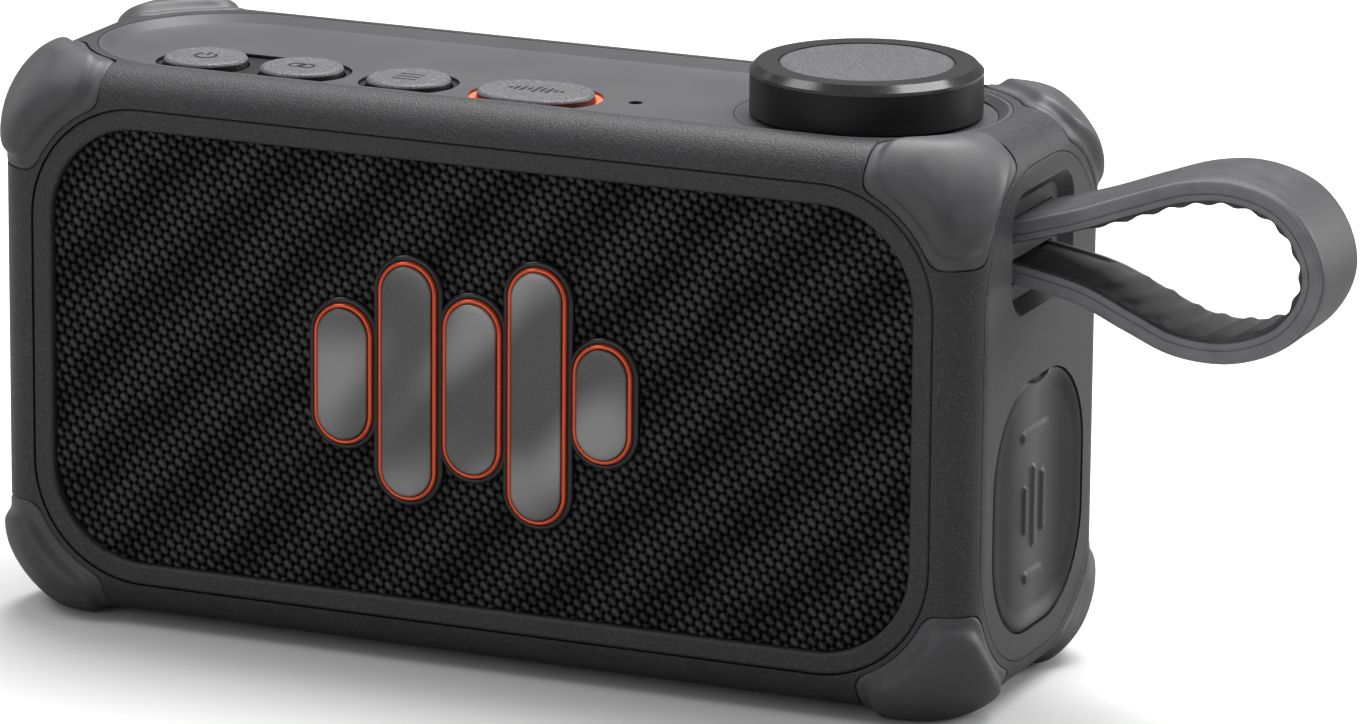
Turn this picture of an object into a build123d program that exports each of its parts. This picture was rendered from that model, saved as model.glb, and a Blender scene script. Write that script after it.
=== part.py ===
from build123d import *
import os

os.makedirs("parts", exist_ok=True)

# Rugged portable practice speaker, millimetres. X is to the right, -Y is the front, Z is up.
# The origin is the centre of the housing's flat underside.

# ---- Body -------------------------------------------------------------------------------
BODY_W = 190.0
BODY_D = 64.6
BODY_H = 101.2
EDGE_R = 7.5
BALL_R = 22.0                   # the eight corners are blended by larger balls
BALL_SET = 4.25                 # how far the balls' own block stands outside the body
WALL = 2.4
CORNER_WALL = 1.6               # wall inside the ball corners, before the bumpers' rebates
INSIDE_R = 3.0                  # inner edges are sharper than the outer ones
GAP = 0.15                      # seam between neighbouring outer panels
FRONT = -BODY_D / 2
BACK = BODY_D / 2
RIGHT = BODY_W / 2
MID_Z = BODY_H / 2
PARTING_Y = 3.5                 # front and rear housings meet here

# ---- Front bezel and grille ---------------------------------------------------------------
BEZEL_W, BEZEL_H, BEZEL_R = 174.5, 88.0, 21.5
OPEN_W, OPEN_H, OPEN_R = 166.8, 80.4, 17.7
BAFFLE_FRONT = FRONT + WALL + 0.8
TRAY_DEPTH = 3.3                # the baffle's floor lies this far behind its flange
BAFFLE_T = 2.5
BAFFLE_BACK = BAFFLE_FRONT + TRAY_DEPTH + BAFFLE_T
GRILLE_T = 1.15
FABRIC_T = 0.55

# ---- Top deck -----------------------------------------------------------------------------
DECK_W, DECK_D, DECK_R = 174.0, 48.0, 23.5
DECK_DEPTH = 1.4                # floor below the rim
DECK_T = 1.95
DECK_SLOPE = 2.4                # width of the dished border
DECK_FLOOR = BODY_H - DECK_DEPTH
DECK_BOTTOM = DECK_FLOOR - DECK_T
LEDGE_T = 1.5

# ---- Buttons ------------------------------------------------------------------------------
BUTTON_Y = -11.7
BUTTON_R = 7.6
BUTTON_X = {"power_button": -62.4, "pairing_button": -43.2, "menu_button": -22.0}
EFFECT_X = 2.9
EFFECT_R = 8.1
EFFECT_HALF = 2.7               # half of the pill's straight run
BUTTON_TOP = DECK_FLOOR + 1.1
BUTTON_H = 3.4
BUTTON_CLEAR = 0.35
WELL_MARGIN = 1.5
WELL_DEPTH = 0.6
MIC_X, MIC_Y = 21.0, -9.0

# ---- Knob ---------------------------------------------------------------------------------
KNOB_X = 61.3
KNOB_R = 20.6
KNOB_FOOT = BODY_H - 0.7
KNOB_WALL = 7.6
KNOB_CHAMFER = 1.2
KNOB_TOP = KNOB_FOOT + KNOB_WALL + KNOB_CHAMFER
DISC_R = 15.45
SHAFT_R = 3.0

# ---- End caps, port cover and strap -------------------------------------------------------
CAP_W, CAP_H, CAP_R = 53.4, 89.2, 22.4
CAP_T = 5.4
COVER_W, COVER_H, COVER_R = 43.6, 45.6, 17.5
COVER_Z = 33.6
COVER_T = 2.2
COVER_LEDGE = 2.5
NOTCH_R, NOTCH_DEPTH = 11.0, 2.6   # finger notch at the cover's top edge
STRAP_Z = 80.2
RECESS_W, RECESS_H, RECESS_R = 25.0, 17.4, 3.5
RECESS_SLOPE = 2.4              # the recess's walls lean outwards by this much
RECESS_DEPTH = 2.2
STRAP_W = 19.2
STRAP_T = 4.1
STRAP_TIP_X = 149.9
STRAP_ROOT_HALF = 3.75          # half the height between the two legs' centre lines

# ---- Bumpers ------------------------------------------------------------------------------
BUMPER_T = 1.6
SKIRT_T = 0.2                   # the skirt round each bumper's raised pad is nearly flush
SKIRT_W = 2.8
REBATE = 0.5                    # depth of the step in the housing that each bumper sits in
LOBE_X = 73.8
LOBE_Y = 11.8
LOBE_Z = 30.9                   # above and below the body's mid height
LOBE_END_R = 3.0
NUDGE = 0.01                    # keeps the lobes' shared limits from lying in one plane

# ---- Drivers ------------------------------------------------------------------------------
DRIVER_X = 40.0
FLANGE_R = 34.0
BAFFLE_HOLE_R = 30.0
CONE_R = 24.8
SCREW_R = 1.2
SCREW_PCD_R = 32.0

BADGE_W = 9.6
BADGE_PITCH = 12.6
BADGE_HEIGHTS = (24.0, 42.0, 31.0, 45.0, 20.0)


def front(y):
    """Plane whose sketch lies in X and Z at the given y; extrusion runs towards the front."""
    return Plane.XZ.offset(-y)


def side(x):
    """Plane whose sketch lies in Y and Z at the given x; extrusion runs towards +X."""
    return Plane.YZ.offset(x)


def block(width, depth, height, radius, bottom):
    """A box with every edge rounded, standing at the given bottom height."""
    box = Box(width, depth, height, align=(Align.CENTER, Align.CENTER, Align.MIN))
    return Pos(0, 0, bottom) * fillet(box.edges(), radius)


def body_block(offset):
    """The body's outside, moved outwards by the offset: rolled edges and ball corners."""
    rolled = block(BODY_W + 2 * offset, BODY_D + 2 * offset, BODY_H + 2 * offset, EDGE_R + offset, -offset)
    reach = offset + BALL_SET
    balls = block(BODY_W + 2 * reach, BODY_D + 2 * reach, BODY_H + 2 * reach, BALL_R + offset, -reach)
    return rolled & balls


def save(part, name):
    part.label = name
    export_step(part, f"parts/{name}.step")


OUTER = body_block(0)
CAVITY = block(BODY_W - 2 * WALL, BODY_D - 2 * WALL, BODY_H - 2 * WALL, INSIDE_R, WALL)
INNER = CAVITY & body_block(-CORNER_WALL)
SCREW_SPOTS = [(x, z) for x in (-78.0, 78.0) for z in (6.2, 92.7)]
BOSS_R = 3.9
BOARD_Z = 92.6                  # top face of the control board

# ---- Corner bumpers -----------------------------------------------------------------------

BUMPER_OUTER = body_block(BUMPER_T)
BUMPER_SKIRT = body_block(SKIRT_T)
REBATE_FLOOR = body_block(-REBATE)
BUMPER_INNER = body_block(0.04 - REBATE)
CORNERS = [(sx, sy, sz) for sx in (-1, 1) for sy in (-1, 1) for sz in (-1, 1)]
SIDE_NAMES = {-1: "left", 1: "right"}
DEPTH_NAMES = {-1: "front", 1: "rear"}
LEVEL_NAMES = {-1: "lower", 1: "upper"}


def lobe_prism(plane, depth, spot, arc_centre, arc_r):
    """Space beyond two straight limits and outside an arc, seen along the plane's normal."""
    with BuildPart(mode=Mode.PRIVATE) as prism_part:
        with BuildSketch(plane) as outline:
            with Locations(spot):
                Rectangle(40, 40)
            with Locations(arc_centre):
                Circle(arc_r, mode=Mode.SUBTRACT)
            middle = Vector(*arc_centre)
            ends = [v for v in outline.vertices() if abs((Vector(v.X, v.Y) - middle).length - arc_r) < 0.01]
            fillet(ends, LOBE_END_R)
        extrude(outline.sketch, amount=depth)
    return prism_part.part


def corner_region(sx, sy, sz, margin):
    """Space that a bumper's three lobes may fill, grown by the margin on its inward sides."""
    mid_x, mid_y, mid_z = LOBE_X - margin + 20, LOBE_Y - margin + 20, LOBE_Z - margin + 20
    bezel_at = (sx * (BEZEL_W / 2 - BEZEL_R), MID_Z + sz * (BEZEL_H / 2 - BEZEL_R))
    cap_at = (sy * (CAP_W / 2 - CAP_R), MID_Z + sz * (CAP_H / 2 - CAP_R))
    deck_at = (sx * (DECK_W / 2 - DECK_R), 0)
    seen_front = lobe_prism(front(60), 120, (sx * mid_x, MID_Z + sz * mid_z), bezel_at,
                            BEZEL_R + 1.1 - margin)
    seen_side = lobe_prism(side(-120), 240, (sy * (mid_y + NUDGE), MID_Z + sz * (mid_z + NUDGE)), cap_at,
                           CAP_R + 1.9 - margin)
    seen_top = lobe_prism(Plane.XY.offset(-11), 133, (sx * (mid_x + 2 * NUDGE), sy * (mid_y + 3 * NUDGE)),
                          deck_at, DECK_R + 2.3 - margin)
    return seen_front.solid() & seen_side.solid() & seen_top.solid()


for sx, sy, sz in CORNERS:
    with BuildPart() as bumper:
        add(corner_region(sx, sy, sz, 0) & BUMPER_SKIRT)
        add(corner_region(sx, sy, sz, -SKIRT_W) & BUMPER_OUTER)
        add(BUMPER_INNER, mode=Mode.SUBTRACT)
    save(bumper.part, f"bumper_{DEPTH_NAMES[sy]}_{LEVEL_NAMES[sz]}_{SIDE_NAMES[sx]}")

# ---- Housings -----------------------------------------------------------------------------


def prism(plane, amount, shapes, mode=Mode.ADD):
    """Extrude one outline from a plane; each outline is (centre, function that draws it)."""
    with BuildSketch(plane) as outline:
        for centre, draw in shapes:
            with Locations(centre):
                draw()
    extrude(outline.sketch, amount=amount, mode=mode)


def cut_body_openings():
    """Cut the front, top and end openings out of the housing that is being built."""
    bezel = ((0, MID_Z), lambda: RectangleRounded(BEZEL_W + 2 * GAP, BEZEL_H + 2 * GAP, BEZEL_R + GAP))
    deck = ((0, 0), lambda: RectangleRounded(DECK_W + 2 * GAP, DECK_D + 2 * GAP, DECK_R + GAP))
    inside = ((0, 0), lambda: RectangleRounded(DECK_W - 7, DECK_D - 7, DECK_R - 3.5))
    cap = ((0, MID_Z), lambda: RectangleRounded(CAP_W + 2 * GAP, CAP_H + 2 * GAP, CAP_R + GAP))
    prism(front(FRONT + WALL + 4), WALL + 6, [bezel], Mode.SUBTRACT)
    prism(Plane.XY.offset(DECK_BOTTOM - 0.05), 10, [deck], Mode.SUBTRACT)
    prism(Plane.XY.offset(DECK_BOTTOM - 5), 15, [inside], Mode.SUBTRACT)
    for x0 in (-RIGHT - 2, RIGHT - 8):
        prism(side(x0), 10, [cap], Mode.SUBTRACT)


def add_deck_ledge():
    """A collar and ledge round the top opening, which carries the deck."""
    collar = ((0, 0), lambda: RectangleRounded(DECK_W + 4.4, DECK_D + 4.4, DECK_R + 2.2))
    prism(Plane.XY.offset(DECK_BOTTOM - LEDGE_T - 0.05), LEDGE_T + 2.6, [collar])


def rebate_corners(sy):
    """Step the outside down where the bumpers sit."""
    for sx in (-1, 1):
        for sz in (-1, 1):
            add(corner_region(sx, sy, sz, 0.12) - REBATE_FLOOR, mode=Mode.SUBTRACT)


def add_bosses(y0, y1):
    prism(front(y1), y1 - y0, [(spot, lambda: Circle(BOSS_R)) for spot in SCREW_SPOTS])


def drill(y0, y1, radius):
    holes = [(spot, lambda: Circle(radius)) for spot in SCREW_SPOTS]
    prism(front(y1), y1 - y0, holes, Mode.SUBTRACT)


with BuildPart() as front_housing:
    add(OUTER)
    add(INNER, mode=Mode.SUBTRACT)
    add_deck_ledge()
    add_bosses(-19, PARTING_Y)
    cut_body_openings()
    drill(-15, PARTING_Y + 1, SCREW_R + 0.25)
    rebate_corners(-1)
    split(bisect_by=front(PARTING_Y - 0.04), keep=Keep.TOP)
save(front_housing.part, "front_housing")

with BuildPart() as rear_housing:
    add(OUTER)
    add(INNER, mode=Mode.SUBTRACT)
    add_deck_ledge()
    add_bosses(PARTING_Y, BACK - WALL)
    with BuildSketch(front(BACK - 1)):
        with Locations(*[(x, z) for x in (-70, -10) for z in (25, 78)]):
            Circle(2.6)
    extrude(amount=5.4)
    cut_body_openings()
    drill(PARTING_Y - 1, BACK + 1, SCREW_R + 0.25)
    drill(BACK - 4.8, BACK + 1, 3.2)
    rebate_corners(1)
    split(bisect_by=front(PARTING_Y + 0.04), keep=Keep.BOTTOM)
save(rear_housing.part, "rear_housing")

# ---- Front bezel, grille and baffle -------------------------------------------------------

with BuildPart() as front_bezel:
    with BuildSketch(front(BAFFLE_FRONT - 0.05)):
        with Locations((0, MID_Z)):
            RectangleRounded(BEZEL_W, BEZEL_H, BEZEL_R)
            RectangleRounded(OPEN_W, OPEN_H, OPEN_R, mode=Mode.SUBTRACT)
    extrude(amount=BAFFLE_FRONT - 0.05 - FRONT)
    rim_edges = front_bezel.faces().sort_by(Axis.Y)[0].edges()
    fillet(rim_edges, 0.7)
save(front_bezel.part, "front_bezel")

GRILLE_BACK = BAFFLE_FRONT - 0.05
FABRIC_BACK = GRILLE_BACK - GRILLE_T - 0.05
FABRIC_FRONT = FABRIC_BACK - FABRIC_T

with BuildPart() as grille_plate:
    with BuildSketch(front(GRILLE_BACK)):
        with Locations((0, MID_Z)):
            RectangleRounded(OPEN_W - 0.4, OPEN_H - 0.4, OPEN_R - 0.2)
            with GridLocations(12, 12, 12, 5):
                SlotOverall(9.5, 7.0, mode=Mode.SUBTRACT)
    extrude(amount=GRILLE_T)
save(grille_plate.part, "grille_plate")

with BuildPart() as grille_fabric:
    with BuildSketch(front(FABRIC_BACK)):
        with Locations((0, MID_Z)):
            RectangleRounded(OPEN_W - 0.3, OPEN_H - 0.3, OPEN_R - 0.15)
    extrude(amount=FABRIC_T)
save(grille_fabric.part, "grille_fabric")

with BuildPart() as front_gasket:
    with BuildSketch(front(BAFFLE_FRONT - 0.05)):
        with Locations((0, MID_Z)):
            RectangleRounded(BEZEL_W + 3, BEZEL_H + 3, BEZEL_R + 1.5)
            RectangleRounded(BEZEL_W + 0.6, BEZEL_H + 0.6, BEZEL_R + 0.3, mode=Mode.SUBTRACT)
    extrude(amount=0.7)
save(front_gasket.part, "front_gasket")

DRIVER_SPOTS = [(-DRIVER_X, MID_Z), (DRIVER_X, MID_Z)]

with BuildPart() as baffle:
    with BuildSketch(front(BAFFLE_FRONT + 2)):
        with Locations((0, MID_Z)):
            RectangleRounded(BEZEL_W + 4.4, BEZEL_H + 4.4, BEZEL_R + 2.2)
    extrude(amount=2)
    with BuildSketch(front(BAFFLE_BACK)):
        with Locations((0, MID_Z)):
            RectangleRounded(OPEN_W + 3, OPEN_H + 3, OPEN_R + 1.5)
    extrude(amount=BAFFLE_BACK - BAFFLE_FRONT)
    with BuildSketch(front(BAFFLE_FRONT + TRAY_DEPTH)):
        with Locations((0, MID_Z)):
            RectangleRounded(OPEN_W - 1.4, OPEN_H - 1.4, OPEN_R - 0.7)
    extrude(amount=TRAY_DEPTH + 1, mode=Mode.SUBTRACT)
    with BuildSketch(front(BAFFLE_BACK + 1)):
        with Locations(*DRIVER_SPOTS):
            Circle(BAFFLE_HOLE_R)
    extrude(amount=BAFFLE_T + 3, mode=Mode.SUBTRACT)
    with BuildSketch(front(BAFFLE_BACK + 1)):
        for spot in DRIVER_SPOTS:
            with Locations(spot):
                with PolarLocations(SCREW_PCD_R, 4, start_angle=45):
                    Circle(SCREW_R + 0.05)
    extrude(amount=2.8, mode=Mode.SUBTRACT)
save(baffle.part, "baffle")

# ---- Badge: five level bars on one dark backing -------------------------------------------

BADGE_BACK = FABRIC_FRONT - 0.03
BADGE_SPOTS = [((i - 2) * BADGE_PITCH, h) for i, h in enumerate(BADGE_HEIGHTS)]

with BuildPart() as badge_backing:
    with BuildSketch(front(BADGE_BACK)):
        for x, height in BADGE_SPOTS:
            with Locations((x, MID_Z)):
                SlotOverall(height + 4.0, BADGE_W + 4.0, rotation=90)
        with Locations((0, MID_Z)):
            Rectangle(BADGE_PITCH * 4, 7)
    extrude(amount=1.1)
    with BuildSketch(front(BADGE_BACK - 0.7)):
        for x, height in BADGE_SPOTS:
            with Locations((x, MID_Z)):
                SlotOverall(height + 1.9, BADGE_W + 1.9, rotation=90)
    extrude(amount=1.0, mode=Mode.SUBTRACT)
save(badge_backing.part, "badge_backing")

with BuildPart() as badge_rims:
    with BuildSketch(front(BADGE_BACK - 0.72)):
        for x, height in BADGE_SPOTS:
            with Locations((x, MID_Z)):
                SlotOverall(height + 1.8, BADGE_W + 1.8, rotation=90)
                SlotOverall(height + 0.1, BADGE_W + 0.1, rotation=90, mode=Mode.SUBTRACT)
    extrude(amount=0.75)
save(badge_rims.part, "badge_rims")

with BuildPart() as badge_bars:
    with BuildSketch(front(BADGE_BACK - 0.72)):
        for x, height in BADGE_SPOTS:
            with Locations((x, MID_Z)):
                SlotOverall(height, BADGE_W, rotation=90)
    extrude(amount=1.2)
    fillet(badge_bars.faces().group_by(Axis.Y)[0].edges(), 0.3)
save(badge_bars.part, "badge_bars")

# ---- Top deck -----------------------------------------------------------------------------

PAIR_X = (BUTTON_X["power_button"] + BUTTON_X["pairing_button"]) / 2
PAIR_HALF = (BUTTON_X["pairing_button"] - BUTTON_X["power_button"]) / 2
WELL_R = BUTTON_R + WELL_MARGIN
EFFECT_WELL_R = EFFECT_R + WELL_MARGIN
KNOB_BASE_R = 23.2
DECK_POSTS = [(-60, 13), (34, 13), (-32.6, -15), (34, -15)]


def pill(radius, half, mode=Mode.ADD):
    """A stadium with the given end radius and half straight run, along X."""
    SlotOverall(2 * (radius + half), 2 * radius, mode=mode)


with BuildPart() as top_deck:
    with BuildSketch(Plane.XY.offset(DECK_BOTTOM)):
        RectangleRounded(DECK_W, DECK_D, DECK_R)
    extrude(amount=BODY_H - 0.05 - DECK_BOTTOM)
    with BuildSketch(Plane.XY.offset(DECK_FLOOR)):
        RectangleRounded(DECK_W - 2 * DECK_SLOPE, DECK_D - 2 * DECK_SLOPE, DECK_R - DECK_SLOPE)
    with BuildSketch(Plane.XY.offset(BODY_H + 0.2)):
        RectangleRounded(DECK_W - 0.8, DECK_D - 0.8, DECK_R - 0.4)
    loft(mode=Mode.SUBTRACT)
    with BuildSketch(Plane.XY.offset(BOARD_Z + 0.05)):
        with Locations(*DECK_POSTS):
            Circle(2.2)
    extrude(amount=DECK_BOTTOM - BOARD_Z)
    with BuildSketch(Plane.XY.offset(DECK_FLOOR - WELL_DEPTH)):
        with Locations((PAIR_X, BUTTON_Y)):
            pill(WELL_R, PAIR_HALF)
        with Locations((BUTTON_X["menu_button"], BUTTON_Y)):
            Circle(WELL_R)
    extrude(amount=2, mode=Mode.SUBTRACT)
    with BuildSketch(Plane.XY.offset(DECK_FLOOR - 1.35)):
        with Locations((EFFECT_X, BUTTON_Y)):
            pill(EFFECT_WELL_R, EFFECT_HALF)
    extrude(amount=3, mode=Mode.SUBTRACT)
    with BuildSketch(Plane.XY.offset(DECK_BOTTOM - 1)):
        for x in BUTTON_X.values():
            with Locations((x, BUTTON_Y)):
                Circle(BUTTON_R + BUTTON_CLEAR)
        with Locations((EFFECT_X, BUTTON_Y)):
            pill(EFFECT_R + BUTTON_CLEAR, EFFECT_HALF)
        with Locations((MIC_X, MIC_Y)):
            Circle(1.3)
        with Locations((KNOB_X, 0)):
            Circle(4.2)
    extrude(amount=6, mode=Mode.SUBTRACT)
    with BuildSketch(Plane.XY.offset(DECK_FLOOR - 0.55)):
        with Locations((KNOB_X, 0)):
            Circle(KNOB_BASE_R + 0.15)
    extrude(amount=6, mode=Mode.SUBTRACT)
save(top_deck.part, "top_deck")

with BuildPart() as knob_base:
    with BuildSketch(Plane.XY.offset(DECK_FLOOR - 0.5)):
        with Locations((KNOB_X, 0)):
            Circle(KNOB_BASE_R)
            Circle(4.2, mode=Mode.SUBTRACT)
    extrude(amount=0.5)
save(knob_base.part, "knob_base")

with BuildPart() as light_ring:
    with BuildSketch(Plane.XY.offset(DECK_FLOOR - 1.3)):
        with Locations((EFFECT_X, BUTTON_Y)):
            pill(EFFECT_WELL_R - 0.08, EFFECT_HALF)
            pill(EFFECT_R + BUTTON_CLEAR, EFFECT_HALF, Mode.SUBTRACT)
    extrude(amount=0.75)
save(light_ring.part, "light_ring")

STEM_BOTTOM = 97.15


def finish_button(button, centre):
    """Round the cap's upper edge and hang the stem that meets the switch."""
    fillet(button.faces().sort_by(Axis.Z)[-1].edges(), 0.8)
    stem_h = BUTTON_TOP - BUTTON_H - STEM_BOTTOM + 0.5
    prism(Plane.XY.offset(STEM_BOTTOM), stem_h, [(centre, lambda: Circle(1.6))])


for name, x in BUTTON_X.items():
    with BuildPart() as button:
        with BuildSketch(Plane.XY.offset(BUTTON_TOP - BUTTON_H)):
            with Locations((x, BUTTON_Y)):
                Circle(BUTTON_R)
        extrude(amount=BUTTON_H)
        finish_button(button, (x, BUTTON_Y))
    save(button.part, name)

with BuildPart() as effect_button:
    with BuildSketch(Plane.XY.offset(BUTTON_TOP - BUTTON_H)):
        with Locations((EFFECT_X, BUTTON_Y)):
            pill(EFFECT_R, EFFECT_HALF)
    extrude(amount=BUTTON_H)
    finish_button(effect_button, (EFFECT_X, BUTTON_Y))
save(effect_button.part, "effect_button")

with BuildPart() as microphone:
    with BuildSketch(Plane.XY.offset(DECK_BOTTOM - 3.05)):
        with Locations((MIC_X, MIC_Y)):
            Circle(3)
    extrude(amount=3)
    with BuildSketch(Plane.XY.offset(DECK_BOTTOM - 0.6)):
        with Locations((MIC_X, MIC_Y)):
            Circle(0.8)
    extrude(amount=2, mode=Mode.SUBTRACT)
save(microphone.part, "microphone")

# ---- Knob ---------------------------------------------------------------------------------

RING_BOTTOM = KNOB_FOOT + KNOB_WALL - 0.6

with BuildPart() as knob_body:
    with BuildSketch(Plane.XY.offset(KNOB_FOOT)):
        with Locations((KNOB_X, 0)):
            Circle(KNOB_R)
    extrude(amount=KNOB_WALL - 0.65)
    with BuildSketch(Plane.XY.offset(KNOB_FOOT)):
        with Locations((KNOB_X, 0)):
            Circle(KNOB_R - 1.6)
            Circle(6.5, mode=Mode.SUBTRACT)
    extrude(amount=KNOB_WALL - 3.0, mode=Mode.SUBTRACT)
    with BuildSketch(Plane.XY.offset(KNOB_FOOT + 2.5)):
        with Locations((KNOB_X, 0)):
            Circle(DISC_R - 0.4)
    extrude(amount=KNOB_WALL - 3.0)
    with BuildSketch(Plane.XY.offset(KNOB_FOOT - 1)):
        with Locations((KNOB_X, 0)):
            Circle(SHAFT_R + 0.02)
    extrude(amount=6.6, mode=Mode.SUBTRACT)
save(knob_body.part, "knob_body")

with BuildPart() as knob_ring:
    with BuildSketch(Plane.XY.offset(RING_BOTTOM)):
        with Locations((KNOB_X, 0)):
            Circle(KNOB_R)
    extrude(amount=KNOB_TOP - RING_BOTTOM)
    chamfer(knob_ring.faces().sort_by(Axis.Z)[-1].edges(), KNOB_CHAMFER)
    with BuildSketch(Plane.XY.offset(RING_BOTTOM - 1)):
        with Locations((KNOB_X, 0)):
            Circle(DISC_R + 0.12)
    extrude(amount=6, mode=Mode.SUBTRACT)
save(knob_ring.part, "knob_ring")

with BuildPart() as knob_disc:
    with BuildSketch(Plane.XY.offset(KNOB_FOOT + KNOB_WALL - 0.45)):
        with Locations((KNOB_X, 0)):
            Circle(DISC_R)
    extrude(amount=KNOB_TOP - KNOB_FOOT - KNOB_WALL + 0.3)
save(knob_disc.part, "knob_disc")

with BuildPart() as encoder_shaft:
    with BuildSketch(Plane.XY.offset(BOARD_Z + 4.9)):
        with Locations((KNOB_X, 0)):
            Circle(SHAFT_R)
    extrude(amount=8.3)
save(encoder_shaft.part, "encoder_shaft")

with BuildPart() as encoder_body:
    with BuildSketch(Plane.XY.offset(BOARD_Z + 0.02)):
        with Locations((KNOB_X, 0)):
            RectangleRounded(14, 13, 1)
    extrude(amount=4.8)
save(encoder_body.part, "encoder_body")

# ---- End caps -----------------------------------------------------------------------------

CAP_INSIDE = block(BODY_W - 2 * WALL - 0.2, BODY_D - 2 * WALL - 0.2, BODY_H - 2 * WALL - 0.2,
                   INSIDE_R - 0.1, WALL + 0.1)


def cap_prism(x0, thickness, margin):
    """Private solid: the end cap's outline, grown by a margin, extruded along X."""
    with BuildPart(mode=Mode.PRIVATE) as slab:
        with BuildSketch(side(x0)):
            with Locations((0, MID_Z)):
                RectangleRounded(CAP_W + 2 * margin, CAP_H + 2 * margin, CAP_R + margin)
        extrude(amount=thickness)
    return slab.part


CAP_X = RIGHT - CAP_T
RIGHT_CAP = (cap_prism(CAP_X, CAP_T + 1, 0) & OUTER) + (cap_prism(CAP_X, 1.6, 1.8) & CAP_INSIDE)
LEFT_CAP = (cap_prism(-RIGHT - 1, CAP_T + 1, 0) & OUTER) + (cap_prism(-CAP_X - 1.6, 1.6, 1.8) & CAP_INSIDE)
RECESS_X = RIGHT - RECESS_DEPTH
COVER_X = RIGHT - COVER_T
SLOT_Z = (STRAP_Z - STRAP_ROOT_HALF, STRAP_Z + STRAP_ROOT_HALF)

with BuildPart() as right_end_cap:
    add(RIGHT_CAP)
    for x, spread in ((RECESS_X, 0), (RIGHT + 0.05, 2 * RECESS_SLOPE)):
        with BuildSketch(side(x)):
            with Locations((0, STRAP_Z)):
                RectangleRounded(RECESS_W + spread, RECESS_H + spread, RECESS_R + spread / 2)
    loft(mode=Mode.SUBTRACT)
    with BuildSketch(side(CAP_X - 1)):
        for z in SLOT_Z:
            with Locations((0, z)):
                RectangleRounded(STRAP_W + 0.6, STRAP_T + 0.5, 0.5)
    extrude(amount=10, mode=Mode.SUBTRACT)
    with BuildSketch(side(COVER_X - 0.1)):
        with Locations((0, COVER_Z)):
            RectangleRounded(COVER_W + 2 * GAP, COVER_H + 2 * GAP, COVER_R + GAP)
    extrude(amount=10, mode=Mode.SUBTRACT)
    with BuildSketch(side(CAP_X - 1)):
        with Locations((0, COVER_Z)):
            RectangleRounded(COVER_W - 2 * COVER_LEDGE, COVER_H - 2 * COVER_LEDGE, COVER_R - COVER_LEDGE)
    extrude(amount=10, mode=Mode.SUBTRACT)
save(right_end_cap.part, "right_end_cap")

with BuildPart() as left_end_cap:
    add(LEFT_CAP)
save(left_end_cap.part, "left_end_cap")

# ---- Port cover, its tether, the ports and their plate ------------------------------------

COVER_BOTTOM = COVER_Z - COVER_H / 2

with BuildPart() as port_cover:
    with BuildSketch(side(COVER_X)):
        with Locations((0, COVER_Z)):
            RectangleRounded(COVER_W - 0.2, COVER_H - 0.2, COVER_R - 0.1)
    extrude(amount=COVER_T)
    fillet(port_cover.faces().sort_by(Axis.X)[-1].edges(), 0.5)
    with BuildSketch(side(RIGHT - 0.9)):
        with Locations((0, COVER_Z + COVER_H / 2 + NOTCH_R - NOTCH_DEPTH)):
            Circle(NOTCH_R)
    extrude(amount=3, mode=Mode.SUBTRACT)
    with BuildSketch(side(COVER_X - 1.6)):
        with Locations((0, COVER_Z)):
            RectangleRounded(COVER_W - 10, COVER_H - 12, COVER_R - 5)
            RectangleRounded(COVER_W - 13, COVER_H - 15, COVER_R - 6.5, mode=Mode.SUBTRACT)
    extrude(amount=1.7)
save(port_cover.part, "port_cover")

JACK_Y, JACK_Z = -8.5, 40.0
PHONE_Y, PHONE_Z = 9.5, 40.0
USB_Y, USB_Z = 0.0, 22.5
PLATE_X = CAP_X - 2.15

with BuildPart() as port_plate:
    with BuildSketch(side(PLATE_X)):
        with Locations((0, COVER_Z)):
            RectangleRounded(COVER_W - 0.6, COVER_H - 0.6, COVER_R - 0.3)
        with Locations((JACK_Y, JACK_Z)):
            Circle(5.1, mode=Mode.SUBTRACT)
        with Locations((PHONE_Y, PHONE_Z)):
            Circle(3.5, mode=Mode.SUBTRACT)
        with Locations((USB_Y, USB_Z)):
            SlotOverall(9.6, 3.9, mode=Mode.SUBTRACT)
    extrude(amount=2.1)
save(port_plate.part, "port_plate")


def socket(name, y, z, bushing_r, bore_r, body, reach):
    """A jack socket: a square body on the board with a bushing through the port plate."""
    with BuildPart() as jack:
        with BuildSketch(side(PLATE_X - 0.1 - body[0])):
            with Locations((y, z)):
                RectangleRounded(body[1], body[2], 1)
        extrude(amount=body[0])
        with BuildSketch(side(PLATE_X - 0.2)):
            with Locations((y, z)):
                Circle(bushing_r)
        extrude(amount=2.4 + reach)
        with BuildSketch(side(PLATE_X - body[0] + 1.5)):
            with Locations((y, z)):
                Circle(bore_r)
        extrude(amount=body[0] + 5, mode=Mode.SUBTRACT)
    save(jack.part, name)


socket("instrument_jack", JACK_Y, JACK_Z, 5.0, 3.2, (13.5, 14.0, 13.0), 0.9)
socket("headphone_jack", PHONE_Y, PHONE_Z, 3.4, 1.8, (12.0, 9.0, 8.0), 0.6)

with BuildPart() as usb_port:
    with BuildSketch(side(PLATE_X - 6.0)):
        with Locations((USB_Y, USB_Z)):
            SlotOverall(9.0, 3.3)
    extrude(amount=7.8)
    with BuildSketch(side(PLATE_X - 5.0)):
        with Locations((USB_Y, USB_Z)):
            SlotOverall(8.4, 2.7)
            Rectangle(6.6, 0.7, mode=Mode.SUBTRACT)
    extrude(amount=8, mode=Mode.SUBTRACT)
save(usb_port.part, "usb_port")

with BuildPart() as port_board:
    with BuildSketch(side(PLATE_X - 15.3)):
        with Locations((0, COVER_Z)):
            RectangleRounded(40, 40, 2)
    extrude(amount=1.6)
save(port_board.part, "port_board")

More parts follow.
